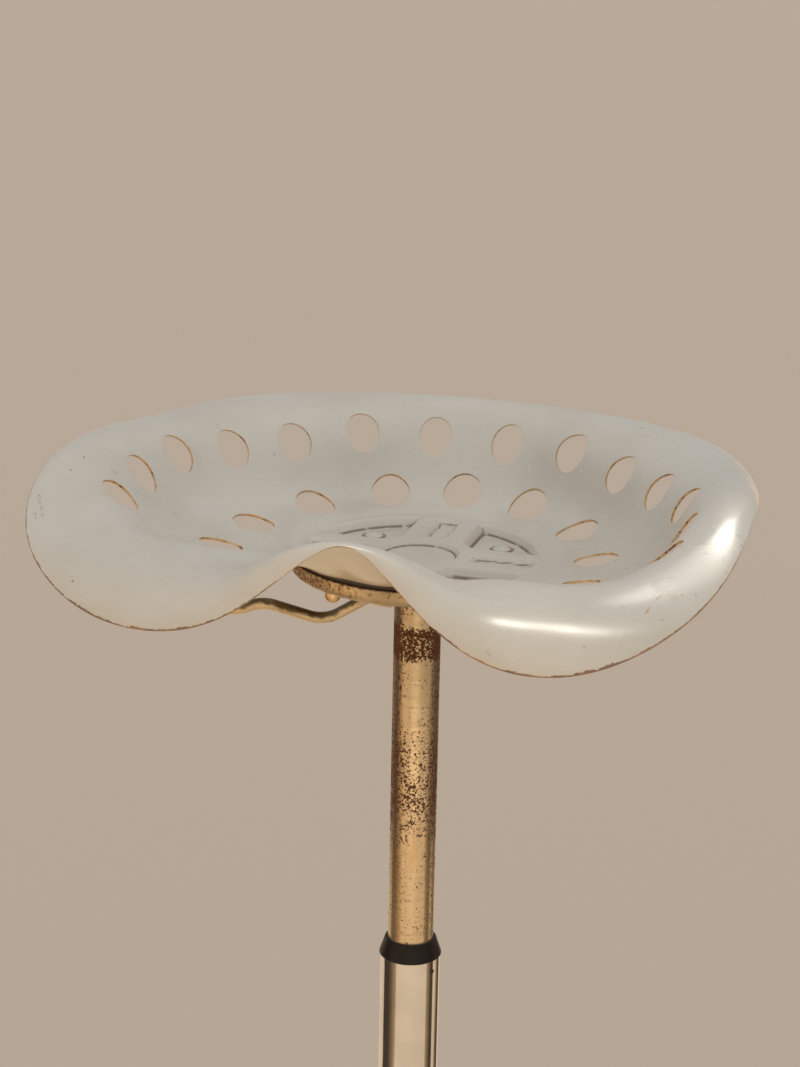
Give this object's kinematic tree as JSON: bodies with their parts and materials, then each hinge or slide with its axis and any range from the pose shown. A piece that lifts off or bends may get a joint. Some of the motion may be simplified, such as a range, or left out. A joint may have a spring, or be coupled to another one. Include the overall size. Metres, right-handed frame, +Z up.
{
  "type": "tractor seat stool",
  "caption": "Height adjustable swivel stool with a pressed steel tractor seat, a side release lever, a footrest ring and a round base.",
  "frame": {"origin": "on the floor at the column's axis", "axes": "+Z up along the column; the front edge of the seat faces -Y; the release lever points to -X"},
  "size_m": [0.409, 0.4465, 0.8111],
  "materials": {
    "seat_paint": "pale grey enamel, semi gloss, scuffed at the rim",
    "dull_nickel": "dull nickel plate with rust specks",
    "bright_chrome": "chrome plate, pitted near the top",
    "zinc_steel": "zinc plated steel",
    "ground_steel": "ground steel",
    "black_plastic": "satin black nylon",
    "black_grip": "moulded black grip",
    "alloy": "machined",
    "black_rubber": "matt",
    "grey_iron": "as cast"
  },
  "bodies": {
    "base": {"base_shell": "bright_chrome", "base_weight": "grey_iron", "foot_ring": "black_rubber", "neck_ring": "black_plastic", "column_tube": "bright_chrome", "column_flange": "zinc_steel", "flange_bolts": "zinc_steel", "rod_block": "alloy", "lower_race": "ground_steel", "thrust_balls": "ground_steel", "guide_bush": "black_plastic", "bush_rivets": "ground_steel", "footrest_ring": "bright_chrome", "footrest_sleeve": "bright_chrome", "footrest_screws": "zinc_steel"},
    "swivel_rod": {"piston_rod": "ground_steel", "piston": "alloy", "piston_seal": "black_rubber", "rod_clip": "ground_steel", "upper_race": "ground_steel"},
    "seat": {"seat_pan": "seat_paint", "seat_bolts": "seat_paint", "seat_washers": "zinc_steel", "seat_nuts": "bright_chrome", "mount_dish": "dull_nickel", "seat_post": "bright_chrome", "valve_plug": "alloy", "spring_cylinder": "ground_steel", "rod_guide": "alloy", "rod_seal": "black_rubber", "post_end_ring": "black_plastic", "lever_bracket": "dull_nickel", "lever_pin": "ground_steel"},
    "lever": {"lever_rod": "dull_nickel", "lever_grip": "black_grip"},
    "valve": {"valve_pin": "ground_steel"}
  },
  "joints": [
    {"name": "seat_swivel", "type": "hinge", "parent": "base", "child": "swivel_rod", "pos_m": [0, 0, 0], "axis": [0, 0, 1], "continuous": true},
    {"name": "seat_height", "type": "slide", "parent": "swivel_rod", "child": "seat", "axis": [0, 0, 1], "range_m": [-0.205, 0]},
    {"name": "lever_tilt", "type": "hinge", "parent": "seat", "child": "lever", "pos_m": [-0.02, 0, 0.721], "axis": [0, 1, 0], "range_deg": [0, 8], "stiffness_Nm_per_rad": 1, "springref_deg": -8.59},
    {"name": "valve_press", "type": "slide", "parent": "seat", "child": "valve", "axis": [0, 0, -1], "range_m": [0, 0.0032]}
  ],
  "couplings": [
    {"joint": "valve_press", "follows": "lever_tilt", "m_per_rad": 0.0225}
  ]
}
